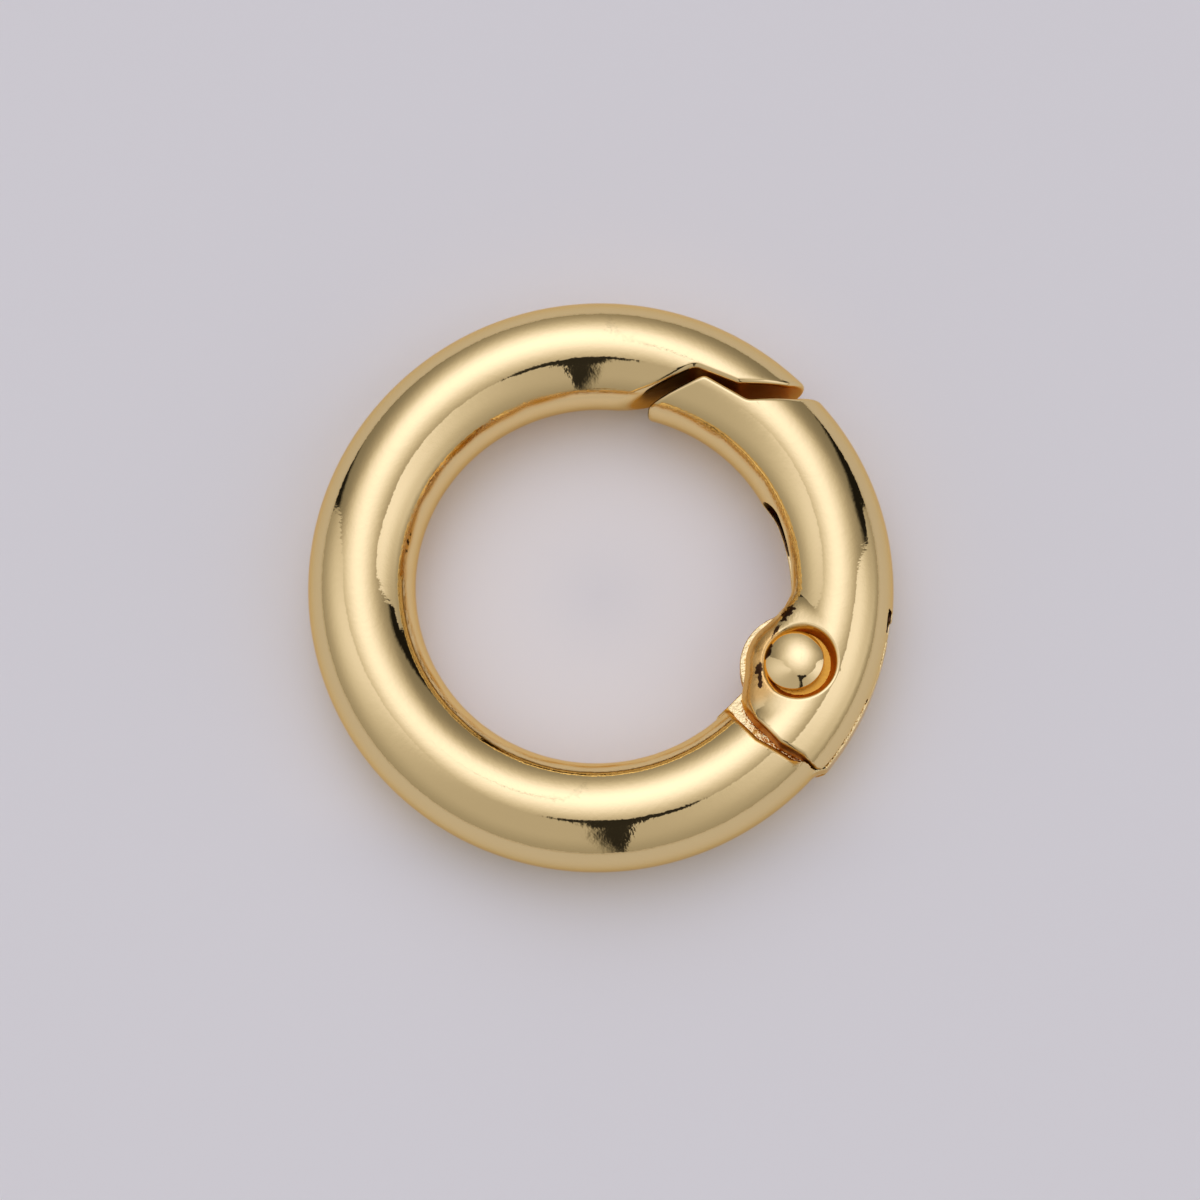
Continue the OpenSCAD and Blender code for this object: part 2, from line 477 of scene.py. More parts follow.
def inner_line(p: Array, centre: Place = (0.0, 0.0)) -> Array:
    """Gives the share of a rough line round the wire's inner sides, above and below the inner edge.

    Args:
        p: Places on the wire.
        centre: Centre of the wire's circle.

    Returns:
        A mask from 0 to 1. The line swells and thins along the ring.
    """
    x, y = p[:, 0] - centre[0], p[:, 1] - centre[1]
    round_wire = np.degrees(np.arctan2(np.abs(p[:, 2]), SIZES.ring_r - np.hypot(x, y)))
    turn = np.arctan2(y, x)
    degrees = np.degrees(turn)
    uneven = 0.5 * np.sin(7 * turn + 0.6) + 0.3 * np.sin(17 * turn + 2.1) + 0.2 * np.sin(41 * turn)
    thick = bell(degrees, 112, 14) + bell(degrees, 172, 20)
    middle = 33 + 1.6 * np.sin(5 * turn) + 0.9 * np.sin(23 * turn + 1)
    width = 2.3 + 0.8 * uneven + 2.0 * thick
    return np.clip(0.75 + 0.35 * uneven, 0.3, 1) * bell(round_wire, middle, width)


def mark(piece: Object, mask: Mask, values: Array) -> None:
    """Stores a mask from 0 to 1 on the vertices of a piece."""
    attribute = piece.data.attributes.new(mask.value, "FLOAT", "POINT")
    attribute.data.foreach_set("value", np.clip(values, 0, 1).astype(np.float32))


def to_metres(piece: Object, name: str, normals: Array | None = None) -> Object:
    """Names a piece, brings it from millimetres to metres and sets its smooth shading.

    Args:
        piece: The modelled piece.
        name: Its name.
        normals: Outward directions for its vertices, or None to use the mesh's own.

    Returns:
        The finished piece.
    """
    pick(piece)
    piece.name = name
    piece.scale = (MM, MM, MM)
    bpy.ops.object.transform_apply(location=True, rotation=True, scale=True)
    if normals is None:
        bpy.ops.object.shade_smooth_by_angle(angle=math.radians(35))
    else:
        bpy.ops.object.shade_smooth()
        piece.data.normals_split_custom_set_from_vertices([tuple(n) for n in normals])
    return piece


def finish_casting(piece: Object, form: "RingBody | Gate", name: str) -> Object:
    """Eases a cast piece onto its skin and marks its masks.

    Args:
        piece: The piece with its cuts, before its edges are eased.
        form: The form that gives its skin and its masks.
        name: Its name.

    Returns:
        The finished piece.
    """
    even_mesh(piece, form.voxel)
    normals = refine_edges(piece, form.skin, turn=14, rounds=2)
    places = places_of(piece)
    for mask, share in ((Mask.RECESS, form.recess), (Mask.GRIT, form.grit), (Mask.FLAW, form.painted_dark)):
        mark(piece, mask, share(places))
    return to_metres(piece, name, normals)


# Finishes


def add_node(tree: Tree, kind: str, label: str, place: Pair, **values) -> bpy.types.Node:
    """Adds a labelled shader node.

    Args:
        tree: The node tree.
        kind: Node type, without its ShaderNode prefix.
        label: What the node is for.
        place: Its place in the editor.
        **values: Node properties, or what goes into a socket, given as in_<number>.

    Returns:
        The node.
    """
    node = tree.nodes.new("ShaderNode" + kind)
    node.label = label
    node.location = place
    for key, value in values.items():
        if not key.startswith("in_"):
            setattr(node, key, value)
        elif isinstance(value, bpy.types.NodeSocket):
            tree.links.new(value, node.inputs[int(key[3:])])
        else:
            node.inputs[int(key[3:])].default_value = value
    return node


def new_material(name: str) -> tuple[bpy.types.Material, Tree, bpy.types.Node]:
    """Adds a material, and gives it with its node tree and its shader."""
    material = bpy.data.materials.new(name)
    material.use_nodes = True
    return material, material.node_tree, material.node_tree.nodes["Principled BSDF"]


def polish_group() -> Tree:
    """Makes the node group of a polished casting: orange-peel waves, fine grain, blisters and cast grit.

    Returns:
        A group from the depths of its relief and a Grit mask to a Normal and a Haze mask.
    """
    tree = bpy.data.node_groups.new("polished_casting", "ShaderNodeTree")
    for name in ("Peel Depth", "Grain Depth", "Blister Depth", "Grit Depth", "Grit"):
        tree.interface.new_socket(name, in_out="INPUT", socket_type="NodeSocketFloat")
    tree.interface.new_socket("Normal", in_out="OUTPUT", socket_type="NodeSocketVector")
    tree.interface.new_socket("Haze", in_out="OUTPUT", socket_type="NodeSocketFloat")
    inside = tree.nodes.new("NodeGroupInput")
    inside.location = (-1200, 0)
    out = tree.nodes.new("NodeGroupOutput")
    out.location = (900, 0)
    at = add_node(tree, "TexCoord", "object places", (-1200, 400)).outputs["Object"]
    peel = add_node(tree, "TexNoise", "orange-peel waves", (-900, 500), in_0=at, in_2=800.0, in_3=1.0, in_4=0.4)
    grain = add_node(tree, "TexNoise", "polishing grain", (-900, 250), in_0=at, in_2=4200.0, in_3=2.0, in_4=0.6)
    cells = add_node(tree, "TexVoronoi", "blister cells", (-900, 0), in_0=at, in_2=850.0)
    grit = add_node(tree, "TexNoise", "cast grit", (-900, -300), in_0=at, in_2=7000.0, in_3=2.0, in_4=0.6)
    dome = add_node(tree, "MapRange", "blister at a cell's middle", (-650, 0), interpolation_type="SMOOTHSTEP",
                    in_0=cells.outputs["Distance"], in_1=0.0, in_2=0.1, in_3=1.0, in_4=0.0)
    chance = add_node(tree, "Math", "few cells have one", (-650, -180), operation="GREATER_THAN",
                      in_0=cells.outputs["Color"], in_1=0.82)
    blister = add_node(tree, "Math", "blisters", (-400, 0), operation="MULTIPLY",
                       in_0=dome.outputs[0], in_1=chance.outputs[0])
    masked = add_node(tree, "Math", "grit only where marked", (-650, -300), operation="MULTIPLY",
                      in_0=grit.outputs[0], in_1=inside.outputs["Grit"])
    total = 0.0
    layers = ((peel, "Peel Depth"), (grain, "Grain Depth"), (blister, "Blister Depth"), (masked, "Grit Depth"))
    for i, (source, depth) in enumerate(layers):
        total = add_node(tree, "Math", depth, (-200 + 150 * i, 300 - 150 * i), operation="MULTIPLY_ADD",
                         in_0=source.outputs[0], in_1=inside.outputs[depth], in_2=total).outputs[0]
    bump = add_node(tree, "Bump", "relief", (550, 0))
    bump.inputs["Strength"].default_value = 1.0
    bump.inputs["Distance"].default_value = 1.0
    haze = add_node(tree, "Math", "haze mask", (550, -250), operation="MULTIPLY",
                    in_0=grain.outputs[0], in_1=peel.outputs[0])
    tree.links.new(total, bump.inputs["Height"])
    tree.links.new(bump.outputs["Normal"], out.inputs["Normal"])
    tree.links.new(haze.outputs[0], out.inputs["Haze"])
    return tree


def add_relief(tree: Tree, group: Tree, **depths: float) -> bpy.types.Node:
    """Places the polished casting's group in a material, with the depths that it is given."""
    relief = tree.nodes.new("ShaderNodeGroup")
    relief.node_tree = group
    relief.location = (-700, -200)
    for name, depth in depths.items():
        relief.inputs[f"{name} Depth"].default_value = depth
    return relief


@dataclass(frozen=True)
class GoldFinish:
    """Light gold plating over a polished casting, duller in its recesses, with painted amber shade there and painted
    dark reflections and shade at marked places.
    """

    name: str
    colour: Triple = (0.88, 0.68, 0.34)
    # Amber painted into the recesses as shade and as gold light thrown between the pieces
    recess_shade_colour: Triple = (0.72, 0.35, 0.05)
    # Near black painted as dark reflections, and as shade deep in holes
    painted_dark_colour: Triple = (0.06, 0.028, 0.012)
    edge_tint: Triple = (0.95, 0.78, 0.5)
    roughness: float = 0.03
    recess_roughness: float = 0.34
    haze: float = 0.08
    peel: float = 6e-6
    grain: float = 3e-6
    blister: float = 1.6e-5
    grit: float = 3e-5
    ragged_scale: float = 5500.0

    def material(self, group: Tree) -> bpy.types.Material:
        """Builds the finish.

        Args:
            group: The polished casting's node group.

        Returns:
            The material.
        """
        material, tree, shader = new_material(self.name)
        link = tree.links.new
        shader.inputs["Metallic"].default_value = 1
        shader.inputs["Specular Tint"].default_value = (*self.edge_tint, 1)
        recess, grit, painted_dark = (
            add_node(tree, "Attribute", label, (-1200, y), attribute_name=mask.value).outputs["Fac"]
            for mask, label, y in ((Mask.RECESS, "recessed faces", 200), (Mask.GRIT, "gritty faces", -200),
                                   (Mask.FLAW, "bare places", 600)))
        relief = add_relief(tree, group, Peel=self.peel, Grain=self.grain, Blister=self.blister, Grit=self.grit)
        link(grit, relief.inputs["Grit"])
        link(relief.outputs["Normal"], shader.inputs["Normal"])
        # Painted shade: the recessed faces take the amber shade colour
        tint = add_node(tree, "MixRGB", "plating colour", (-550, 300),
                        in_0=recess, in_1=(*self.colour, 1), in_2=(*self.recess_shade_colour, 1))
        places = add_node(tree, "TexCoord", "object places", (-1400, 500))
        # Painted dark reflections and painted shade, with ragged borders
        ragged = add_node(tree, "TexNoise", "ragged borders", (-1200, 450),
                          in_0=places.outputs["Object"], in_2=self.ragged_scale, in_3=3.0, in_4=0.6)
        share = add_node(tree, "Math", "flaw and noise", (-950, 550), operation="MULTIPLY_ADD",
                         in_0=ragged.outputs[0], in_1=0.9, in_2=painted_dark)
        dark_paint = add_node(tree, "MapRange", "crisp painted dark", (-750, 550), in_0=share.outputs[0], in_1=0.92, in_2=1.02)
        painted_dark_mix = add_node(tree, "MixRGB", "plating with bare places", (-350, 400),
                           in_0=dark_paint.outputs[0], in_1=tint.outputs[0], in_2=(*self.painted_dark_colour, 1))
        link(painted_dark_mix.outputs[0], shader.inputs["Base Color"])
        rough = add_node(tree, "MapRange", "roughness of the surface", (-400, 100),
                         in_0=recess, in_1=0.0, in_2=1.0, in_3=self.roughness, in_4=self.recess_roughness)
        hazy = add_node(tree, "Math", "hazier patches", (-200, 100), operation="MULTIPLY_ADD",
                        in_0=relief.outputs["Haze"], in_1=self.haze, in_2=rough.outputs[0])
        link(hazy.outputs[0], shader.inputs["Roughness"])
        return material


@dataclass(frozen=True)
class SpringFinish:
    """Drawn spring wire with fine drawing lines."""

    colour: Triple = (0.62, 0.58, 0.5)
    roughness: float = 0.3
    worn: float = 0.15
    grain: float = 2e-6

    def material(self, group: Tree) -> bpy.types.Material:
        """Builds the finish of the spring wire.

        Args:
            group: The polished casting's node group, here for its grain alone.

        Returns:
            The material.
        """
        material, tree, shader = new_material("spring_wire")
        shader.inputs["Base Color"].default_value = (*self.colour, 1)
        shader.inputs["Metallic"].default_value = 1
        relief = add_relief(tree, group, Grain=self.grain)
        rough = add_node(tree, "MapRange", "drawn streaks", (-250, 100), in_0=relief.outputs["Haze"],
                         in_1=0.1, in_2=0.5, in_3=self.roughness, in_4=self.roughness + self.worn)
        tree.links.new(rough.outputs[0], shader.inputs["Roughness"])
        tree.links.new(relief.outputs["Normal"], shader.inputs["Normal"])
        return material


# The pieces


def plan_rows(rows: Rows) -> list[Triple]:
    """Turns rows of across, angle and rounding to plan corners."""
    return [(*SIZES.spot(across, angle), radius) for across, angle, radius in rows]


@dataclass
class RingBody:
    """C-shaped body of the ring, with its zigzag nose, its shoulder and its hinge tongue."""

    # Rows of across, angle and rounding, from the inner edge of the wire to the outer
    nose: Rows = ((-1.27, 92.0, 0), (-0.08, 64.7, 0.35), (0.05, 53.7, 0.35), (0.66, 45.1, 0.6), (1.60, 40.6, 0))
    # Rows from outside the wire to inside
    shoulder: Rows = (
        (1.48, -37.3, 0), (0.98, -41.85, 0.1), (0.75, -42.4, 0.06), (0.62, -43.9, 0.15), (-0.12, -46.5, 0.6),
        (-0.73, -46.2, 0.5), (-1.09, -44.7, 0.3), (-1.45, -42.8, 0))
    nose_edge: float = 0.22
    # The shoulder's edge is sharp from a radius outwards, over a run
    shoulder_edge: float = 0.2
    lip_edge: float = 0.012
    lip_r: float = 9.15
    lip_run: float = 0.3
    knuckle_r: float = 1.83
    knuckle_root: float = 0.94
    knuckle_turn: float = 112.0
    tongue_outer_r: float = 9.95
    tongue_side: Rows = (
        (0.35, -12.3, 0), (1.4, -12.3, 0), (1.35, -37, 0), (0.97, -42.3, 0), (0.85, -44, 0), (0.8, -46.5, 0))
    tongue_edge: float = 0.03
    tongue_fillet: float = 0.12
    bore_r: float = 0.65
    bore_edge: float = 0.03
    # Where the polishing wheel stops, and the faces turn rougher with painted amber shade: how deep in the wire, how
    # near the shoulder's rim and how far out
    wheel_depth: float = 0.07
    rim_width: float = 0.17
    rim_r: float = 9.5
    voxel: float = 0.13

    @cached_property
    def mouth(self) -> PlanOutline:
        """Plan of the gap that the gate closes."""
        return PlanOutline((*plan_rows(self.nose), (20, 10, 0), (20, -20, 0), *plan_rows(self.shoulder)))

    @cached_property
    def tongue(self) -> PlanOutline:
        """Plan of the tongue's band, from the shoulder to its end."""
        root = SIZES.pin + self.knuckle_r * self.knuckle_root * heading(SIZES.pin_angle + self.knuckle_turn)
        inner = plan_rows(((-1, -49.2, 0), (-0.99, SIZES.pin_angle - 14, 0)))
        return PlanOutline((*inner, (*root, 0), *plan_rows(self.tongue_side)))

    def skin(self, p: Array) -> Array:
        """Distance of places outside the finished body."""
        outwards = ramp(np.hypot(p[:, 0], p[:, 1]), self.lip_r, self.lip_run)
        edge = self.shoulder_edge + (self.lip_edge - self.shoulder_edge) * outwards
        wire = both(torus_gap(p), -self.mouth.gap(p), np.where(p[:, 1] > 0, self.nose_edge, edge))
        band = np.maximum(self.tongue.gap(p), drum_gap(p, SIZES.gate_centre, self.tongue_outer_r))
        band = np.minimum(band, drum_gap(p, SIZES.pin, self.knuckle_r))
        tongue = both(band, slab_gap(p, SIZES.tongue_half), self.tongue_edge)
        body = either(wire, tongue, self.tongue_fillet)
        return both(body, -drum_gap(p, SIZES.pin, self.bore_r), self.bore_edge)

    def rim(self, p: Array) -> Array:
        """Share of the shoulder's rim."""
        return ramp(self.mouth.gap(p), self.rim_width, -RIM_FADE) * (p[:, 1] < 0)

    def tongue_top(self, p: Array) -> Array:
        """Share of the tongue's two broad faces."""
        return bell(np.abs(p[:, 2]), SIZES.tongue_half, RIM_FADE) * (self.mouth.gap(p) < -0.02)

    def recess(self, p: Array) -> Array:
        """Share of the faces that the polishing wheel doesn't reach, rougher and painted with amber shade: the two
        ends and the inner line.
        """
        ends = ramp(-torus_gap(p), self.wheel_depth, 0.1)
        rim = self.rim(p) * ramp(np.hypot(p[:, 0], p[:, 1]), self.rim_r, -0.1)
        return np.maximum(np.maximum(ends, rim) * (1 - self.tongue_top(p)), inner_line(p))

    def grit(self, p: Array) -> Array:
        """Share of the rough cast skin: the groove's floor and edge, and the inner line."""
        rim = self.rim(p) * (np.hypot(p[:, 0], p[:, 1]) < self.rim_r)
        return np.maximum.reduce([self.tongue_top(p), 0.5 * rim, 0.6 * inner_line(p)])

    def painted_dark(self, p: Array) -> Array:
        """Share of painted dark reflections on the inner line, where it is widest."""
        turn = np.degrees(np.arctan2(p[:, 1], p[:, 0]))
        return 0.56 * inner_line(p) * (bell(np.abs(turn), 172, 18) + 0.8 * bell(turn, 112, 9))

    def build(self) -> Object:
        """Models the body.

        Returns:
            The finished body.
        """
        half = SIZES.tongue_half
        piece = bent_wire("body_wire")
        join_solid(piece, prism("mouth", self.mouth.points(), -CLEAR, CLEAR))
        band = prism("band", self.tongue.points(), -half, half)
        join_solid(band, drum("band_edge", (*SIZES.gate_centre, 0), self.tongue_outer_r, CLEAR), "INTERSECT")
        join_solid(piece, band, "UNION")
        join_solid(piece, drum("knuckle", (*SIZES.pin, 0), self.knuckle_r, 2 * half + 1e-3), "UNION")
        join_solid(piece, drum("hinge_hole", (*SIZES.pin, 0), self.bore_r, CLEAR))
        return finish_casting(piece, self, "polished_body")


@dataclass
class Gate:
    """Hinged gate: zigzag tip, two cheeks about the tongue, rivet seats and spring chamber."""

    tip: Rows = (
        (-1.36, 71.0, 0), (-0.98, 74.7, 0.3), (-0.12, 61.9, 0.35), (-0.06, 49.4, 0.5), (0.61, 41.9, 0.6),
        (1.63, 37.2, 0))
    heel: Rows = (
        (1.49, -37.2, 0), (0.98, -41.7, 0.15), (0.70, -42.1, 0.3), (0.23, -43.7, 0.5), (-0.42, -43.2, 0.6),
        (-0.86, -39.9, 0.5), (-1.22, -34.2, 0))
    tip_edge: float = 0.17
    # The heel's edge is sharper from a radius outwards, over a run
    heel_edge: float = 0.15
    heel_sharpening: float = 0.92
    lip_r: float = 9.4
    lip_run: float = 0.3
    lug_r: float = 1.64
    lug_half: float = 1.5
    lug_edge: float = 0.8
    lug_melt: float = 0.5
    root_melt: float = 0.8
    root_at: Pair = (6.35, -0.95)
    root_run: float = 0.85
    heel_boss: Pair = (-0.55, -34.4)
    heel_boss_r: float = 0.92
    boss_melt: float = 0.4
    seat_edge: float = 0.12
    seat_slope: float = 0.5
    seat_steep: float = 0.894
    seat_top: float = 1.62
    slot_edge: float = 0.03
    # Notches in the upper cheek's outer side: across, from and to angle, low and high z
    notch_rows: Rows = (
        (0.6, -10.9, -6.2, -0.1, 0.72), (0.88, -17.4, -12.4, 0.3, 0.56), (0.86, -42.5, -24.5, 0.3, 0.61))
    chamber_half: float = 0.8
    chamber_back: float = 7.656
    chamber_end: float = 19.0
    chamber_start: float = -14.0
    chamber_edge: float = 0.1
    hole_r: float = 0.62
    pocket_r: float = 0.94
    pocket_low: float = -1.1
    pocket_edge: float = 0.03
    groove_turn: float = 2.0
    groove_r: float = 0.77
    groove_half: float = 0.14
    groove_low: float = -0.74
    hole_edge: float = 0.02
    wheel_depth: float = 0.08
    seat_rim: float = 0.16
    root_grit: Oval = Oval(6.6, -0.75, 0.35, 0.95)
    # Painted dark reflections round the lug's root
    painted_dark_spots: tuple[Oval, ...] = (
        Oval(6.5, -1.38, 0.62, 0.21, 52), Oval(6.1, -2.0, 0.35, 0.1, 60), Oval(5.55, -3.64, 0.62, 0.13, 97),
        Oval(5.5, -3.3, 0.3, 0.2, 70))
    voxel: float = 0.12

    @cached_property
    def plan(self) -> PlanOutline:
        """Plan of the gate, from its zigzag round to its heel."""
        return PlanOutline((*plan_rows(self.tip), (20, 20 / 3, 0), (20, -20, 0), *plan_rows(self.heel)))

    @cached_property
    def slot(self) -> PlanOutline:
        """Plan of the space for the tongue."""
        end = plan_rows(((-1.8, SIZES.slot_end_angle, 0), (1.4, SIZES.slot_end_angle, 0)))
        return PlanOutline((*end, (20, -5, 0), (20, -20, 0), (0, -20, 0), *plan_rows(((-1.8, -46.5, 0),))))

    @cached_property
    def notches(self) -> list[tuple[PlanOutline, float, float]]:
        """Plans of the notches in the upper cheek, along the slot's outer side, with their low and high z."""
        plans = []
        for across, start, stop, low, high in self.notch_rows:
            angles = np.linspace(start, stop, 8)
            rows = [(across, a, 0.0) for a in angles] + [(1.4, a, 0.0) for a in angles[::-1]]
            plans.append((PlanOutline(tuple(plan_rows(rows))), low, high))
        return plans

    @cached_property
    def chamber(self) -> PlanOutline:
        """Plan of the spring's chamber."""
        arc = [(*(self.chamber_back * heading(a)), 0.0) for a in np.linspace(self.chamber_start, self.chamber_end, 12)]
        return PlanOutline((*arc, *plan_rows(((-3, self.chamber_end, 0), (-3, self.chamber_start, 0)))))

    def lug(self, p: Array) -> Array:
        """Distance of places outside the boss about the rivet and the smaller one at the heel."""
        boss = rounded_drum_gap(p, SIZES.pin, self.lug_r, self.lug_half, self.lug_edge)
        heel = rounded_drum_gap(p, SIZES.spot(*self.heel_boss), self.heel_boss_r, self.lug_half, self.lug_edge)
        return melted(boss, heel, self.boss_melt)

    def melted_with_lug(self, shape: Array, p: Array) -> Array:
        """Melts the lug into the wire, over a width that is largest at the lug's root."""
        width = self.lug_melt + self.root_melt * bell(drum_gap(p, self.root_at, 0), 0, self.root_run)
        return melted(shape, self.lug(p), width)

    def leg_groove(self, p: Array) -> Array:
        """Distance of places outside the groove that leads the spring's leg to the chamber."""
        across, along = turned(p, SIZES.pin, self.groove_turn)
        side = np.maximum(np.abs(across - self.groove_r) - self.groove_half, np.abs(along - 1) - 1)
        return np.maximum(side, np.maximum(p[:, 2], self.groove_low - p[:, 2]))

    def skin(self, p: Array) -> Array:
        """Distance of places outside the finished gate."""
        outwards = ramp(np.hypot(p[:, 0], p[:, 1]), self.lip_r, self.lip_run)
        edge = np.where(p[:, 1] > 0, self.tip_edge, self.heel_edge * (1 - self.heel_sharpening * outwards))
        out = self.melted_with_lug(both(torus_gap(p, SIZES.gate_centre), self.plan.gap(p), edge), p)

        narrowing = self.seat_slope * np.maximum(self.seat_top - np.abs(p[:, 2]), 0)
        seat = (drum_gap(p, SIZES.seat_at, SIZES.seat_r) + narrowing) * self.seat_steep
        out = both(out, -np.maximum(seat, SIZES.seat_z - np.abs(p[:, 2])), self.seat_edge)

        out = both(out, -np.maximum(self.slot.gap(p), slab_gap(p, SIZES.slot_half)), self.slot_edge)
        for plan, low, high in self.notches:
            notch = np.maximum(plan.gap(p), np.maximum(p[:, 2] - high, low - p[:, 2]))
            out = both(out, -notch, self.slot_edge)

        along, side = turned(p, (0, 0), self.chamber_end)
        end = np.maximum(np.hypot(side, p[:, 2]) - self.chamber_half, np.maximum(along - self.chamber_back, -along))
        room = np.maximum(self.chamber.gap(p), slab_gap(p, self.chamber_half))
        out = both(out, -np.minimum(room, end), self.chamber_edge)
        pocket = np.maximum(drum_gap(p, SIZES.pin, self.pocket_r), np.maximum(p[:, 2], self.pocket_low - p[:, 2]))
        out = both(out, -np.minimum(pocket, self.leg_groove(p)), self.pocket_edge)
        return both(out, -drum_gap(p, SIZES.pin, self.hole_r), self.hole_edge)

    def recess(self, p: Array) -> Array:
        """Share of the faces that the polishing wheel doesn't reach, rougher and painted with amber shade: the seats,
        the slot and the ends.
        """
        depth = -self.melted_with_lug(torus_gap(p, SIZES.gate_centre), p)
        at_seat = ramp(drum_gap(p, SIZES.seat_at, SIZES.seat_r), self.seat_rim, -RIM_FADE)
        at_heel = ramp(p[:, 1], -3.2, -0.5)
        rim = np.maximum(at_seat, at_heel) * ramp(depth, 0.012, RIM_FADE)
        lug_side = bell(self.lug(p), 0.02, 0.12) * (p[:, 0] < 6.2) * (p[:, 2] > 0.8)
        line = inner_line(p, SIZES.gate_centre)
        return np.maximum.reduce([ramp(depth, self.wheel_depth, 0.1), rim, 0.6 * lug_side, line])

    def grit(self, p: Array) -> Array:
        """Share of the rough cast skin: the inner line and the flaws at the lug's root."""
        flaws = 0.45 * self.root_grit.share(p) * (p[:, 2] > 0)
        rim = 0.4 * bell(self.lug(p), 0, 0.1) * (p[:, 0] < 6.1) * (p[:, 2] > 0.4)
        seat = 0.35 * self.recess(p) * (p[:, 2] > 1.0)
        return np.maximum.reduce([flaws, rim, seat, 0.6 * inner_line(p, SIZES.gate_centre)])

    def painted_dark(self, p: Array) -> Array:
        """Share of painted shade deep in the notches and at the chamber's end, and of painted dark reflections beside
        the rivet's seat.
        """
        angle = np.degrees(np.arctan2(p[:, 1], p[:, 0]))
        radius = np.hypot(p[:, 0], p[:, 1])
        # Painted shade deep in the notches and the chamber
        deep = np.maximum.reduce([
            1.0 * (radius > 9.2) * (np.abs(angle + 8.5) < 3.6),
            0.6 * (radius > 9.2) * (np.abs(angle + 15) < 2.5),
            0.75 * (radius > 9.7) * (angle < -24) * (np.abs(p[:, 2] - 0.5) < 0.2),
            (radius < 7.6) * ramp(angle, 8, 4)])
        deep = deep * ramp(-torus_gap(p, SIZES.gate_centre), 0.02, RIM_FADE)
        # Painted dark reflections at the lug's root
        spots = 0.78 * np.maximum.reduce([spot.share(p) for spot in self.painted_dark_spots]) * ramp(p[:, 2], 1.05, 0.15)
        return np.maximum(deep, spots)

    def build(self) -> Object:
        """Models the gate.

        Returns:
            The finished gate.
        """
        pin = (*SIZES.pin, 0)
        piece = bent_wire("gate_wire", SIZES.gate_centre)
        join_solid(piece, prism("gate_plan", self.plan.points(), -CLEAR, CLEAR), "INTERSECT")
        join_solid(piece, drum("lug", pin, self.lug_r - SLACK, 2 * (self.lug_half - SLACK)), "UNION")
        heel = (*SIZES.spot(*self.heel_boss), 0)
        join_solid(piece, drum("heel", heel, self.heel_boss_r - SLACK, 2 * (self.lug_half - 2 * SLACK)), "UNION")
        join_solid(piece, prism("slot", self.slot.points(), -SIZES.slot_half, SIZES.slot_half))
        for plan, low, high in self.notches:
            join_solid(piece, prism("notch", plan.points(), low, high))
        join_solid(piece, prism("chamber", self.chamber.points(), -self.chamber_half, self.chamber_half))
        middle = (*(self.chamber_back / 2 * heading(self.chamber_end)), 0)
        end_turn = (0, math.pi / 2, math.radians(self.chamber_end))
        join_solid(piece, drum("chamber_end", middle, self.chamber_half - 0.01, self.chamber_back, end_turn))
        join_solid(piece, drum("pocket", (*SIZES.pin, self.pocket_low / 2), self.pocket_r, -self.pocket_low))
        join_solid(piece, drum("rivet_hole", pin, self.hole_r, 5))
        for side in (1, -1):
            join_solid(piece, drum("seat", (*SIZES.seat_at, side * (SIZES.seat_z + 1)), SIZES.seat_r, 2))
        return finish_casting(piece, self, "polished_gate")


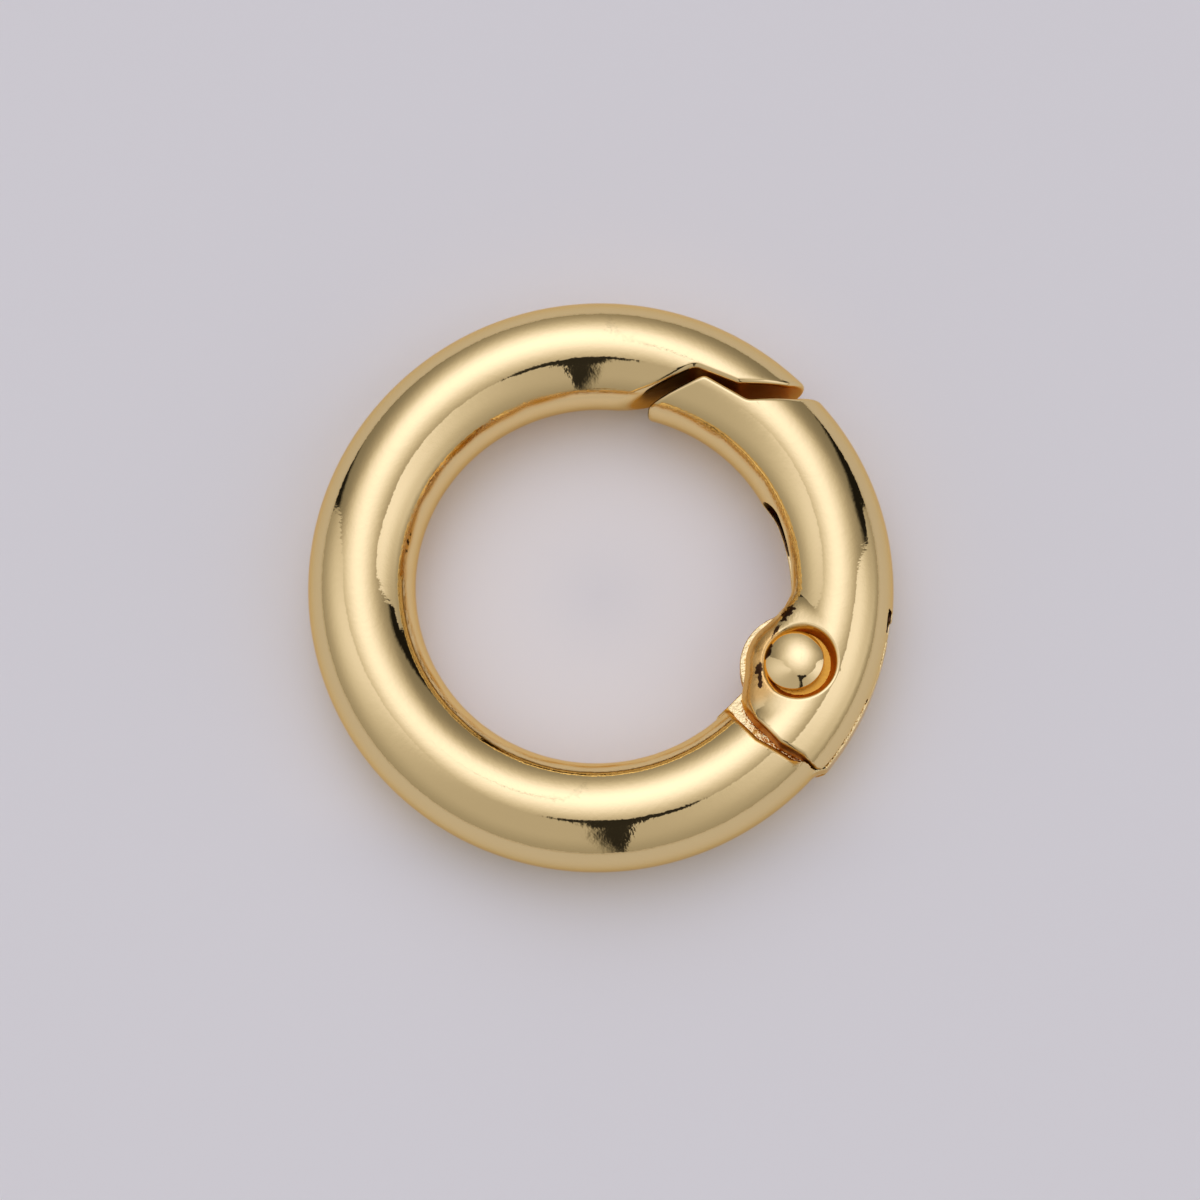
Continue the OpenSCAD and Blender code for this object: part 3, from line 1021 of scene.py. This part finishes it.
@dataclass
class HingeRivet:
    """Rivet with a domed head on each side; the upper head was set a little askew."""

    head_r: float = 1.03
    low_z: float = 1.3
    upper_rim_z: float = 1.48
    lower_rim_z: float = 1.42
    upper_dome: float = 0.3
    lower_dome: float = 0.28
    edge: float = 0.05
    foot_edge: float = 0.006
    slope: Pair = (0.14, -0.08)
    # Painted dark reflection on the upper head's left side
    painted_dark_spot: Oval = Oval(*(SIZES.pin + (-0.86, 0.3)), 0.45, 0.16, 66)
    grit: float = 0.03
    segments: int = 144
    rings: int = 22

    def head(self, rim_z: float, dome: float) -> list[Pair]:
        """Gives half the section of a head.

        Args:
            rim_z: Height of the dome's foot above the middle.
            dome: Height of the dome above its foot.

        Returns:
            Points of radius and height, from the dome's top to the shank.
        """
        ball = (self.head_r ** 2 + dome ** 2) / (2 * dome)
        lean = math.asin((self.head_r - 0.5 * self.edge) / ball)
        top = rim_z + dome - ball
        points = [(ball * math.sin(lean * i / self.rings), top + ball * math.cos(lean * i / self.rings))
                  for i in range(self.rings + 1)]
        r, z = points[-1]
        r, z = r - self.edge * math.sin(lean), z - self.edge * math.cos(lean)
        for i in range(1, 7):
            t = lean + (math.pi / 2 - lean) * i / 6
            points.append((r + self.edge * math.sin(t), z + self.edge * math.cos(t)))
        foot = points[-1][0]
        return points + [(foot, self.low_z + self.foot_edge), (foot - self.foot_edge, self.low_z),
                         (SIZES.shank_r, self.low_z)]

    def build(self) -> Object:
        """Models the rivet by spinning half of its section about the axis.

        Returns:
            The finished rivet.
        """
        section = self.head(self.upper_rim_z, self.upper_dome)
        section += [(r, -z) for r, z in reversed(self.head(self.lower_rim_z, self.lower_dome))]
        piece = flat_circle(len(section), fill="NOTHING")
        for vertex, (r, z) in zip(piece.data.vertices, section):
            vertex.co = (r, 0, z)
        with editing():
            bpy.ops.mesh.spin(steps=self.segments, angle=2 * math.pi, center=(0, 0, 0), axis=(0, 0, 1), dupli=False)
            bpy.ops.mesh.select_all(action="SELECT")
            bpy.ops.mesh.remove_doubles(threshold=1e-4)
            bpy.ops.mesh.dissolve_degenerate(threshold=1e-5)
            bpy.ops.mesh.select_all(action="SELECT")
            bpy.ops.mesh.normals_make_consistent(inside=False)
        flat_z = self.low_z + 0.005
        for vertex in piece.data.vertices:
            if vertex.co.z > flat_z:
                vertex.co.z += self.slope[0] * vertex.co.x + self.slope[1] * vertex.co.y
                vertex.co.z = max(vertex.co.z, flat_z)
            vertex.co.x += SIZES.pin[0]
            vertex.co.y += SIZES.pin[1]
        places = places_of(piece)
        mark(piece, Mask.RECESS, np.zeros(len(places)))
        mark(piece, Mask.GRIT, np.full(len(places), self.grit))
        # Painted dark reflection on the upper head
        mark(piece, Mask.FLAW, 0.8 * self.painted_dark_spot.share(places) * (places[:, 2] > self.low_z))
        return to_metres(piece, "domed_rivet")


@dataclass
class GateSpring:
    """Torsion spring: a coil on the rivet and a leg along the chamber."""

    wire_r: float = 0.09
    coil_r: float = 0.77
    turns: int = 2
    pitch: float = 0.1872
    top_z: float = -0.58
    leg_angle: float = 92.0
    leg: float = 4.1
    turn_steps: int = 40
    leg_steps: int = 8
    sides: int = 16

    def path(self) -> list[Vector]:
        """Gives the middle of the wire, from the coil's low end to the leg's end."""
        steps = self.turn_steps * self.turns
        path = []
        for back in (self.turns * (1 - i / steps) for i in range(steps + 1)):
            place = SIZES.pin + self.coil_r * heading(self.leg_angle - 90 - 360 * back)
            path.append(Vector((*place, self.top_z - self.pitch * back)))
        root, ahead = path[-1], Vector((*heading(self.leg_angle), 0))
        return path + [root + self.leg * i / self.leg_steps * ahead for i in range(1, self.leg_steps + 1)]

    def build(self) -> Object:
        """Models the spring as a round wire along its path.

        Returns:
            The finished spring.
        """
        path = self.path()
        piece = flat_circle(self.sides, self.wire_r)
        ring = [v.co.copy() for v in piece.data.vertices]
        for k, at in enumerate(path):
            ahead = path[min(k + 1, len(path) - 1)] - path[max(k - 1, 0)]
            side = ahead.cross(Vector((0, 0, 1))).normalized()
            up = side.cross(ahead.normalized())
            if k:
                bpy.ops.object.mode_set(mode="EDIT")
                bpy.ops.mesh.extrude_region_move(TRANSFORM_OT_translate={"value": (0, 0, 0)})
                bpy.ops.object.mode_set(mode="OBJECT")
            chosen = [v for v in piece.data.vertices if v.select]
            for v, co in zip(chosen, ring):
                v.co = at + side * co.x + up * co.y
        with editing():
            bpy.ops.mesh.normals_make_consistent(inside=False)
        return to_metres(piece, "torsion_spring")


# The table, the light and the camera


class Term:
    """Value in a node tree, which the usual signs of arithmetic carry on as Math nodes."""

    def __init__(self, socket: bpy.types.NodeSocket) -> None:
        """Keeps the socket that gives the value."""
        self.socket = socket

    def node(self, kind: str, *values: "Term | float") -> bpy.types.Node:
        """Adds a node that starts with this value, with the others on its next sockets."""
        tree = self.socket.id_data
        node = tree.nodes.new("ShaderNode" + kind)
        for i, value in enumerate((self, *values)):
            if isinstance(value, Term):
                tree.links.new(value.socket, node.inputs[i])
            else:
                node.inputs[i].default_value = value
        return node

    def math(self, operation: str, *values: "Term | float") -> "Term":
        """Adds a Math node with an operation, which starts with this value."""
        node = self.node("Math", *values)
        node.operation = operation
        return Term(node.outputs[0])

    def __add__(self, other: "Term | float") -> "Term":
        """Sum."""
        return self.math("ADD", other)

    def __sub__(self, other: "Term | float") -> "Term":
        """Difference."""
        return self.math("SUBTRACT", other)

    def __rsub__(self, other: float) -> "Term":
        """Difference from a number."""
        return self.math("MULTIPLY_ADD", -1.0, other)

    def __mul__(self, other: "Term | float") -> "Term":
        """Product."""
        return self.math("MULTIPLY", other)

    def __truediv__(self, other: "Term | float") -> "Term":
        """Quotient."""
        return self.math("DIVIDE", other)

    def __pow__(self, power: float) -> "Term":
        """Power."""
        return self.math("POWER", power)

    def __abs__(self) -> "Term":
        """Size without its sign."""
        return self.math("ABSOLUTE")

    def degrees(self) -> "Term":
        """Turns radians to degrees."""
        return self * (180 / math.pi)

    def step(self, low: float, high: float) -> "Term":
        """Rises smoothly from 0 at low to 1 at high."""
        node = self.node("MapRange", low, high)
        node.interpolation_type = "SMOOTHSTEP"
        return Term(node.outputs[0])

    def blend(self, a: "Term | float", b: "Term | float") -> "Term":
        """Mixes two values, a where this one is 0 and b where it is 1."""
        return self.math("MULTIPLY_ADD", b - a, a)

    def hill(self, middle: "Term | float", width: "Term | float", power: float = 2.0) -> "Term":
        """Rounded hill of height 1 about a middle."""
        return ((abs(self - middle) / width) ** power * -1.0).math("EXPONENT")


@dataclass(frozen=True)
class Table:
    """Pale sheet that the ring lies on, with painted shade on the table away from the ring and a painted warm glow
    close to it.
    """

    colour: Triple = (0.851, 0.827, 0.803)
    clouding: float = 0.015
    # Painted shade on the table beyond the lit square about the ring
    painted_far_shade: Triple = (0.86, 0.82, 0.74)
    lit_half: float = 24.0
    # Painted gold glow that stands in for the light the ring throws on the table: about this radius, and not in front
    # of the ring
    painted_glow_share: Triple = (1.165, 1.14, 1.10)
    near_r: float = 6.0
    near_width: float = 5.6
    front_y: Pair = (-9.5, -7.0)
    roughness: float = 0.6
    top_z: float = -1.86
    half: float = 600.0

    def build(self) -> Object:
        """Adds the table top.

        Returns:
            The table top, marked as stage.
        """
        deselect()
        bpy.ops.mesh.primitive_grid_add(x_subdivisions=8, y_subdivisions=8, size=2 * self.half * MM,
                                        location=(0, 0, self.top_z * MM))
        piece = bpy.context.object
        piece.name = "table_top"
        material, tree, shader = new_material("pale_table")
        shader.inputs["Roughness"].default_value = self.roughness
        places = add_node(tree, "TexCoord", "object places", (-1300, 0)).outputs["Object"]
        cloud = add_node(tree, "TexNoise", "faint clouding", (-1000, 300), in_0=places, in_2=14.0, in_3=2.0, in_4=0.5)
        tones = [(*[(1 + side * self.clouding) * c for c in self.colour], 1) for side in (-1, 1)]
        tone = add_node(tree, "MixRGB", "tone", (-750, 300), in_0=cloud.outputs[0], in_1=tones[0], in_2=tones[1])
        part = add_node(tree, "SeparateXYZ", "x, y", (-1100, -100), in_0=places)
        x, y = Term(part.outputs[0]), Term(part.outputs[1])
        # Painted shade far out, and a painted gold glow round the ring
        far = abs(x).math("MAXIMUM", abs(y)).step(self.lit_half * MM, 4 * self.lit_half * MM)
        away = (x ** 2.0 + y ** 2.0).math("SQRT") * (1 / MM)
        near = away.hill(self.near_r, self.near_width, 3.0) * y.step(*(edge * MM for edge in self.front_y))
        for share, other, label in ((near, self.painted_glow_share, "painted gold light near the ring"),
                                    (far, self.painted_far_shade, "painted shade on the far table")):
            tone = add_node(tree, "MixRGB", label, (-300, 100), blend_type="MULTIPLY",
                            in_0=share.socket, in_1=tone.outputs[0], in_2=(*other, 1))
        tree.links.new(tone.outputs[0], shader.inputs["Base Color"])
        piece.data.materials.append(material)
        return piece


@dataclass(frozen=True)
class Studio:
    """Soft light tent round the table, with narrow seams between its bright top, its back and its sides.

    Angles are in degrees. Polar ones are measured from straight up, and turns from the tent's back.
    """

    top: float = 1.268
    top_azimuth: float = 98.8
    top_polar: float = 30.6
    reach_back: float = 32.6
    reach_front: float = 36.8
    high_width: float = 31.4
    low_width: float = 26.8
    ridge: float = 0.056
    fill: float = 0.215
    front: float = 0.5
    right: float = 0.58
    left: float = 0.42
    seam_depth: float = 0.95
    warm: Triple = (1.07, 1.0, 0.92)
    cool: Triple = (0.97, 1.0, 1.25)

    def sky(self, x: Term, y: Term, z: Term) -> Term:
        """Brightness of the top, falling off from its middle along the line to the back wall and across it."""
        ahead, aside = heading(self.top_azimuth)
        along = (x * ahead + y * aside).math("ARCTAN2", z).degrees()
        across = (x * aside - y * ahead).math("ARCSINE").degrees()
        reach = along.step(self.top_polar - 1, self.top_polar + 1).blend(self.reach_front, self.reach_back)
        ridge = across.hill(0.0, along.step(26.0, 52.0).blend(self.high_width, self.low_width))
        return along.hill(self.top_polar, reach) * ridge * self.top + ridge * self.ridge + self.fill

    def side(self, polar: Term, turned: Term) -> Term:
        """Brightness of the side walls, highest beside the ring and fading towards the front and the horizon."""
        fall = (polar.step(42.0, 72.0) + polar.step(76.0, 88.0)) * 0.5
        low = polar.step(36.0, 74.0)
        right = turned.hill(low.blend(88.0, 101.0), low.blend(44.0, 25.0)) * self.right * (1.0 - fall)
        left = turned.hill(-85.0, 27.0) * self.left * (1.0 - polar.step(34.0, 88.0))
        return right + left + self.front - polar.step(52.0, 94.0) * 0.14

    def seam(self, polar: Term, front: Term) -> Term:
        """Dark share of the seam in front: a bar at its top and a funnel that narrows downwards."""
        bar_y = (abs(polar - (front * 0.05 + 19.2)) / 3.5) ** 2.0
        bar_x = (abs(front - 5.0) / 28.5) ** 3.0
        bar = 1.0 - (bar_x + bar_y).step(0.75, 1.4)
        start = polar.step(20.0, 35.0) * 9.5 - 13.0 + polar.step(40.0, 95.0) * 5.5
        stop = 14.0 - polar.step(21.0, 33.0) * 6.0 - polar.step(33.0, 90.0) * 3.0
        funnel = (front - start).step(-3.5, 3.5) * (stop - front).step(-0.6, 0.6) * polar.step(17.5, 19.0)
        return bar.math("MAXIMUM", funnel)

    def level(self, x: Term, y: Term, z: Term) -> Term:
        """Writes the tent's brightness by direction.

        Args:
            x: The direction's x.
            y: The direction's y.
            z: The direction's z.

        Returns:
            The brightness.
        """
        polar = z.math("ARCCOSINE").degrees()
        # Turn from the back of the tent (+Y), plus towards +X, and its size
        turned = (90.0 - y.math("ARCTAN2", x).degrees()).math("WRAP", 180.0, -180.0)
        off_back = abs(turned)
        to_right = turned.step(-4.0, 4.0)

        # The side walls' edges: towards the back, and their tops
        seam_right = polar.step(31.0, 40.0).blend(76.0, 68.5)
        seam_right = polar.step(72.0, 80.0).blend(seam_right, 61.5)
        seam_left = polar.step(34.0, 75.0).blend(66.0, 63.0)
        past_seam = (off_back - to_right.blend(seam_left, seam_right)).step(-0.5, 0.5)
        slope = (off_back - 88.0).math("MAXIMUM", 0.0) * (-1 / 27)
        top_right = slope.math("EXPONENT") * 13.0 + 20.0
        top_left = off_back.step(64.0, 100.0).blend(38.0, 20.0)
        past_top = (polar - to_right.blend(top_left, top_right)).step(-0.8, 0.8)
        light = (past_seam * past_top).blend(self.sky(x, y, z), self.side(polar, turned))

        # Black gaps beside the side walls, low towards the back
        edge_right = polar.step(60.0, 98.0).blend(58.0, 38.0)
        edge_left = polar.step(68.0, 100.0).blend(63.0, 46.0)
        gap = (off_back - to_right.blend(edge_left, edge_right)).step(-3.0, 3.0) * (1.0 - past_seam)
        low = (polar - to_right.blend(72.0, 62.0)).step(-5.0, 5.0)
        gap = gap * low * (1.0 - polar.step(100.0, 104.0))

        front = (180.0 - off_back) * to_right.blend(-1.0, 1.0)
        dark = gap.math("MAXIMUM", self.seam(polar, front))
        return light * (1.0 - dark * self.seam_depth)

    def build(self) -> None:
        """Sets the world to the light tent, cooler where it is bright."""
        world = bpy.data.worlds.new("light_tent")
        bpy.context.scene.world = world
        world.use_nodes = True
        tree = world.node_tree
        where = add_node(tree, "TexCoord", "direction", (-600, 0))
        part = add_node(tree, "SeparateXYZ", "x, y, z", (-400, 0), in_0=where.outputs["Generated"])
        level = self.level(*(Term(socket) for socket in part.outputs))
        tint = add_node(tree, "MixRGB", "cooler where bright", (200, 0),
                        in_0=level.step(0.05, 1.4).socket, in_1=(*self.warm, 1), in_2=(*self.cool, 1))
        background = tree.nodes["Background"]
        tree.links.new(tint.outputs[0], background.inputs["Color"])
        tree.links.new(level.socket, background.inputs["Strength"])


@dataclass(frozen=True)
class Shot:
    """Camera at the photograph's angle."""

    direction: Triple = (0.0355, -0.2216, 0.9745)
    distance: float = 150.0
    focal_px: float = 4356.5
    centre_px: Pair = (597.3, 584.0)
    frame_px: int = 1200

    def build(self) -> Object:
        """Sets up the camera.

        Returns:
            The camera.
        """
        lens = bpy.data.cameras.new("photo_camera")
        camera = bpy.data.objects.new("photo_camera", lens)
        bpy.context.scene.collection.objects.link(camera)
        away = Vector(self.direction).normalized()
        across = Vector((0, 1, 0)).cross(away).normalized()
        up = away.cross(across)
        turn = Matrix((across, up, away)).transposed().to_4x4()
        camera.matrix_world = Matrix.Translation(away * self.distance * MM) @ turn
        lens.sensor_width = 36
        lens.lens = 36 * self.focal_px / self.frame_px
        middle = (self.frame_px - 1) / 2
        lens.shift_x = (middle - self.centre_px[0]) / self.frame_px
        lens.shift_y = (self.centre_px[1] - middle) / self.frame_px
        lens.clip_start = 0.005
        lens.clip_end = 10
        bpy.context.scene.camera = camera
        return camera


# Putting it together


def dress(piece: Object, material: bpy.types.Material, node: str, body: str) -> None:
    """Gives a finished piece its material and its place in the frame.

    Args:
        piece: The finished piece.
        material: Its finish.
        node: The CAD node that it stands for.
        body: The body that it moves with.
    """
    piece.data.materials.clear()
    piece.data.materials.append(material)
    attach(piece, body)
    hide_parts(node)
    log.info("%s: %d faces, stands for %s", piece.name, len(piece.data.polygons), node)


def main() -> None:
    """Builds the ring's pieces in order, and then the table, the light and the camera."""
    logging.basicConfig(level=logging.INFO, format="%(name)s: %(message)s")
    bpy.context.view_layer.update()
    bpy.context.scene.view_settings.view_transform = "Standard"

    relief = polish_group()
    gold = GoldFinish("light_gold").material(relief)
    rivet_gold = GoldFinish("rivet_gold", peel=3e-6, blister=0.0).material(relief)
    wire = SpringFinish().material(relief)

    dress(RingBody().build(), gold, "ring_body", "ring")
    dress(Gate().build(), gold, "gate", "gate")
    dress(HingeRivet().build(), rivet_gold, "hinge_rivet", "gate")
    dress(GateSpring().build(), wire, "gate_spring", "gate")

    Table().build()
    Studio().build()
    Shot().build()


if __name__ == "__main__":
    main()
